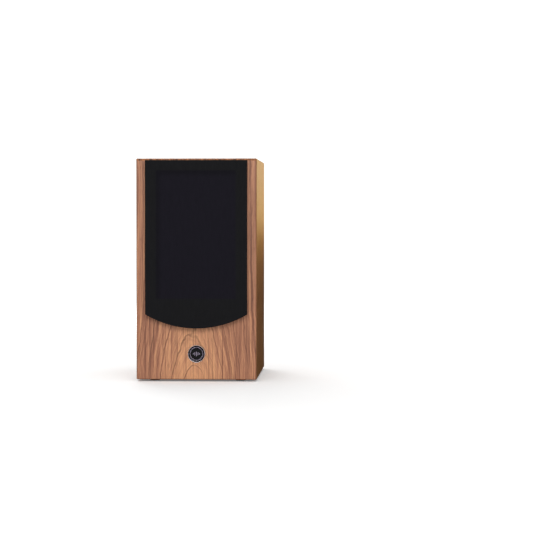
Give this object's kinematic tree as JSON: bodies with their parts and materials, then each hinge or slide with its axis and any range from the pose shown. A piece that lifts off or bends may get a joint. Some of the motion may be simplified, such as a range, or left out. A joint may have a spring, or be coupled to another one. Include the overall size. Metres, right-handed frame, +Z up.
{
  "type": "bookshelf speaker",
  "caption": "Upright wood-veneered loudspeaker with an arched pull-off cloth grille, round badge, cone and dome drivers, rear port and binding posts.",
  "frame": {"origin": "on the surface that the feet stand on, below the middle of the whole speaker with its grille on", "axes": "+Z up, -Y out of the front grille, +X to the right as seen from the front"},
  "size_m": [0.2, 0.284, 0.37],
  "materials": {
    "walnut": "satin walnut veneer, vertical grain",
    "fibreboard": "bare medium density fibreboard",
    "foam": "open cell damping foam",
    "grille_cloth": "stretched black woven cloth",
    "black_abs": "moulded, fine texture",
    "rubber": "matt black",
    "chrome": "polished",
    "badge_black": "gloss black",
    "cone_paper": "coated pulp, matt",
    "silk": "doped silk",
    "black_metal": "black powder coat",
    "steel": "zinc plated",
    "ferrite": "sintered, matt",
    "gold": "gold plated",
    "red_plastic": "gloss",
    "black_plastic": "gloss",
    "copper": "enamelled wire",
    "board": "green laminate",
    "capacitor": "yellow film wrap",
    "lead_black": "black insulation"
  },
  "bodies": {
    "cabinet": {"front_baffle": "walnut", "left_side_panel": "walnut", "right_side_panel": "walnut", "top_panel": "walnut", "bottom_panel": "walnut", "rear_panel": "walnut", "cross_brace": "fibreboard", "damping_foam_left": "foam", "damping_foam_right": "foam", "foot_front_left": "rubber", "foot_front_right": "rubber", "foot_rear_left": "rubber", "foot_rear_right": "rubber", "grille_socket_1": "rubber", "grille_socket_2": "rubber", "grille_socket_3": "rubber", "grille_socket_4": "rubber", "badge_rim": "chrome", "badge_plate": "badge_black", "woofer_basket": "black_metal", "woofer_trim_ring": "rubber", "woofer_surround": "rubber", "woofer_spider": "silk", "woofer_top_plate": "steel", "woofer_magnet": "ferrite", "woofer_yoke": "steel", "woofer_terminal": "board", "woofer_screw_1": "black_metal", "woofer_screw_2": "black_metal", "woofer_screw_3": "black_metal", "woofer_screw_4": "black_metal", "tweeter_faceplate": "black_abs", "tweeter_surround": "silk", "tweeter_top_plate": "steel", "tweeter_magnet": "ferrite", "tweeter_yoke": "steel", "tweeter_screw_1": "black_metal", "tweeter_screw_2": "black_metal", "tweeter_screw_3": "black_metal", "port_tube": "black_abs", "terminal_cup": "black_abs", "black_post_stud": "gold", "red_post_stud": "gold", "crossover_board": "board", "crossover_coil": "copper", "crossover_capacitor": "capacitor", "input_lead": "lead_black", "woofer_lead": "lead_black", "tweeter_lead": "lead_black"},
    "grille": {"grille_frame": "black_abs", "grille_cloth": "grille_cloth"},
    "woofer_diaphragm": {"woofer_cone": "cone_paper", "woofer_dust_cap": "cone_paper", "woofer_voice_coil": "copper"},
    "tweeter_diaphragm": {"tweeter_dome": "silk", "tweeter_voice_coil": "copper"},
    "black_ring": {"black_post_ring": "black_plastic"},
    "black_knob": {"black_post_knob": "gold"},
    "red_ring": {"red_post_ring": "red_plastic"},
    "red_knob": {"red_post_knob": "gold"}
  },
  "joints": [
    {"name": "grille_pull", "type": "slide", "parent": "cabinet", "child": "grille", "axis": [0, -1, 0], "range_m": [0, 0.06]},
    {"name": "woofer_stroke", "type": "slide", "parent": "cabinet", "child": "woofer_diaphragm", "axis": [0, -1, 0], "range_m": [-0.004, 0.004], "stiffness_N_per_m": 1000, "deforming": ["woofer_surround", "woofer_spider"]},
    {"name": "tweeter_stroke", "type": "slide", "parent": "cabinet", "child": "tweeter_diaphragm", "axis": [0, -1, 0], "range_m": [-0.0005, 0.0005], "stiffness_N_per_m": 50, "deforming": ["tweeter_surround"]},
    {"name": "black_ring_slide", "type": "slide", "parent": "cabinet", "child": "black_ring", "axis": [0, 1, 0], "range_m": [0, 0.005]},
    {"name": "black_knob_turn", "type": "hinge", "parent": "black_ring", "child": "black_knob", "pos_m": [-0.015, 0.12585, 0.108], "axis": [0, 1, 0], "range_deg": [0, 1800]},
    {"name": "red_ring_slide", "type": "slide", "parent": "cabinet", "child": "red_ring", "axis": [0, 1, 0], "range_m": [0, 0.005]},
    {"name": "red_knob_turn", "type": "hinge", "parent": "red_ring", "child": "red_knob", "pos_m": [0.015, 0.12585, 0.108], "axis": [0, 1, 0], "range_deg": [0, 1800]}
  ],
  "couplings": [
    {"joint": "black_knob_turn", "follows": "black_ring_slide", "rad_per_m": 6283.2},
    {"joint": "red_knob_turn", "follows": "red_ring_slide", "rad_per_m": 6283.2}
  ]
}
